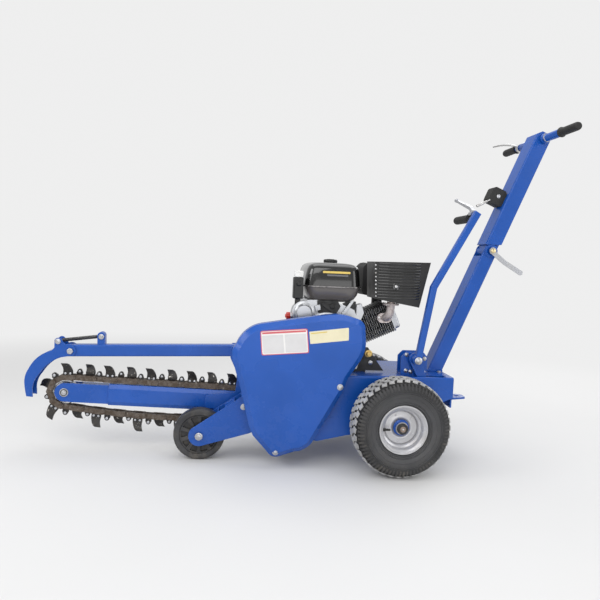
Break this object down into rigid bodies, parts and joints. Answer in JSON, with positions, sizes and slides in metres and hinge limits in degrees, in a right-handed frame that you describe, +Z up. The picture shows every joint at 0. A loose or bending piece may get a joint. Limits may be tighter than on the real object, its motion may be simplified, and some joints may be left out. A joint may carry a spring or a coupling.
{
  "type": "walk-behind trencher",
  "caption": "Walk-behind trencher with a raised digging boom and toothed chain, petrol engine, two drive wheels, a guide wheel, a depth lever and a tilting handle column.",
  "frame": {"origin": "on the ground, midway along the machine's length and width", "axes": "-X towards the digging boom, -Y towards the side with the drive cover and guide wheel, +Z up"},
  "size_m": [2.1479, 0.7724, 1.4046],
  "materials": {
    "tyre": "matte",
    "rim": "satin",
    "paint_blue": "gloss",
    "steel": "worn",
    "tooth": "matte",
    "zinc": "satin",
    "engine_black": "gloss",
    "cast_aluminium": "cast",
    "exhaust": "heat stained",
    "black_plastic": "matte",
    "grip": "matte",
    "bar": "gloss"
  },
  "bodies": {
    "machine": {"chassis_frame": "paint_blue", "rear_hitch": "paint_blue", "rear_axle": "steel", "shaft_bearings": "steel", "head_shaft": "steel", "drive_cover": "paint_blue", "engine_rails": "engine_black", "engine_block": "cast_aluminium", "recoil_starter": "engine_black", "engine_cylinder": "engine_black", "valve_cover": "cast_aluminium", "fuel_tank": "engine_black", "muffler_guard": "engine_black", "muffler": "engine_black", "exhaust_pipe": "exhaust", "air_cleaner": "black_plastic", "lower_column": "paint_blue", "lever_bracket": "paint_blue", "front_fork": "paint_blue", "front_axle": "steel"},
    "left_wheel": {"tyre_left": "tyre", "rim_left": "rim"},
    "right_wheel": {"tyre_right": "tyre", "rim_right": "rim"},
    "guide_wheel": {"front_wheel": "tyre"},
    "boom": {"boom_beam": "paint_blue", "boom_nose": "paint_blue", "nose_wheel": "steel", "digging_chain": "steel", "digging_teeth": "tooth", "drive_sprocket": "steel", "boom_cradle": "paint_blue", "crumber_bar": "paint_blue", "return_spring": "steel"},
    "shoe": {"crumber_shoe": "paint_blue"},
    "lever": {"depth_lever": "paint_blue", "lever_grip": "grip", "lever_release": "zinc"},
    "link": {"lift_link": "paint_blue"},
    "handle": {"upper_column": "paint_blue", "handlebar": "bar", "handle_grips": "grip", "grip_lever": "zinc", "lever_catch": "black_plastic", "clamp_lever": "zinc"}
  },
  "joints": [
    {"name": "left_wheel_spin", "type": "hinge", "parent": "machine", "child": "left_wheel", "pos_m": [0.39631, -0.31, 0.1905], "axis": [0, 1, 0], "continuous": true},
    {"name": "right_wheel_spin", "type": "hinge", "parent": "machine", "child": "right_wheel", "pos_m": [0.39631, 0.31, 0.1905], "axis": [0, 1, 0], "continuous": true},
    {"name": "guide_wheel_spin", "type": "hinge", "parent": "machine", "child": "guide_wheel", "pos_m": [-0.36969, -0.126, 0.1015], "axis": [0, 1, 0], "continuous": true},
    {"name": "boom_lower", "type": "hinge", "parent": "machine", "child": "boom", "pos_m": [-0.02369, 0, 0.2], "axis": [0, -1, 0], "range_deg": [0, 55]},
    {"name": "shoe_trip", "type": "hinge", "parent": "boom", "child": "shoe", "pos_m": [-0.89845, 0, 0.40368], "axis": [0, 1, 0], "range_deg": [0, 25], "stiffness_Nm_per_rad": 60, "springref_deg": -8.59, "deforming": ["return_spring"]},
    {"name": "lever_swing", "type": "hinge", "parent": "machine", "child": "lever", "pos_m": [0.48631, -0.205, 0.43], "axis": [0, -1, 0], "range_deg": [0, 55]},
    {"name": "link_swing", "type": "hinge", "parent": "lever", "child": "link", "pos_m": [0.53105, -0.164, 0.32951], "axis": [0, -1, 0], "range_deg": [-55, 0]},
    {"name": "handle_tilt", "type": "hinge", "parent": "machine", "child": "handle", "pos_m": [0.83767, 0, 0.88491], "axis": [0, 1, 0], "range_deg": [0, 30]}
  ],
  "couplings": [
    {"joint": "lever_swing", "follows": "boom_lower", "ratio": 1},
    {"joint": "link_swing", "follows": "boom_lower", "ratio": -1}
  ]
}
